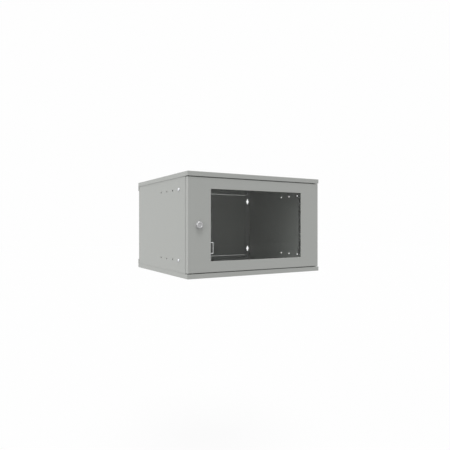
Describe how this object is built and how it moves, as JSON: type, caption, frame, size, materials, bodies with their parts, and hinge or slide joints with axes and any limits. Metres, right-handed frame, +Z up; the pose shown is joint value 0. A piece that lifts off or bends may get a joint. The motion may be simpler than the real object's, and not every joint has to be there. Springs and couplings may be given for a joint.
{
  "type": "wall mount network cabinet",
  "caption": "Wall-mounted sheet-steel cabinet for rack equipment, with a glazed lockable front door, folded top and bottom caps, mounting rails and keyhole hangers.",
  "frame": {"origin": "on the underside of the bottom cap, centred between the side screws and between the front of the lock and the back", "axes": "+X to the right seen from the door, +Y from the door to the wall, +Z up"},
  "size_m": [0.604, 0.529, 0.38],
  "materials": {
    "cabinet_paint": "fine-textured light grey powder coat",
    "rail_zinc": "zinc-plated sheet steel",
    "zinc_fastener": "bright zinc plating",
    "zinc_bracket": "zinc-plated sheet steel",
    "pin_steel": "plated round bar",
    "spring_steel": "drawn spring wire",
    "lock_chrome": "satin chrome",
    "window_glass": "clear tempered glass",
    "foam_tape": "matt foam tape",
    "bush_nylon": "natural nylon",
    "bumper_rubber": "matt rubber"
  },
  "bodies": {
    "cabinet": {"back_panel": "cabinet_paint", "back_panel_screws": "zinc_fastener", "bottom_cap": "cabinet_paint", "cable_cover_bottom": "cabinet_paint", "cable_cover_screws": "zinc_fastener", "cable_cover_top": "cabinet_paint", "cap_nuts": "zinc_fastener", "corner_screws": "zinc_fastener", "door_bumpers": "bumper_rubber", "earth_nut": "zinc_fastener", "earth_stud": "zinc_fastener", "front_rail_lower": "cabinet_paint", "front_rail_nuts": "zinc_fastener", "front_rail_screws": "zinc_fastener", "front_rail_upper": "cabinet_paint", "hinge_bracket_lower": "zinc_bracket", "hinge_bracket_upper": "zinc_bracket", "hinge_pin_lower": "pin_steel", "mounting_rail_left": "rail_zinc", "mounting_rail_right": "rail_zinc", "rail_nuts": "zinc_fastener", "rail_screws": "zinc_fastener", "side_panel_left": "cabinet_paint", "side_panel_right": "cabinet_paint", "top_cap": "cabinet_paint"},
    "door": {"door_panel": "cabinet_paint", "door_glass": "window_glass", "glass_tape": "foam_tape", "glass_clips": "zinc_bracket", "glass_clip_nuts": "zinc_fastener", "hinge_bush_lower": "bush_nylon", "hinge_bush_upper": "bush_nylon", "pin_guide": "zinc_bracket", "pin_spring": "spring_steel", "lock_housing": "lock_chrome", "lock_nut": "lock_chrome"},
    "hinge_pin": {"hinge_pin_upper": "pin_steel", "pin_collar": "pin_steel"},
    "lock": {"lock_barrel": "lock_chrome", "lock_cam": "zinc_bracket", "cam_screw": "zinc_fastener"}
  },
  "joints": [
    {"name": "door_hinge", "type": "hinge", "parent": "cabinet", "child": "door", "pos_m": [0.292, -0.2475, 0.19], "axis": [0, 0, 1], "range_deg": [0, 180]},
    {"name": "hinge_pin_slide", "type": "slide", "parent": "door", "child": "hinge_pin", "axis": [0, 0, -1], "range_m": [0, 0.008], "stiffness_N_per_m": 600, "springref_m": -0.01, "deforming": ["pin_spring"]},
    {"name": "lock_turn", "type": "hinge", "parent": "door", "child": "lock", "pos_m": [-0.2545, -0.2535, 0.19], "axis": [0, 1, 0], "range_deg": [0, 90]}
  ]
}
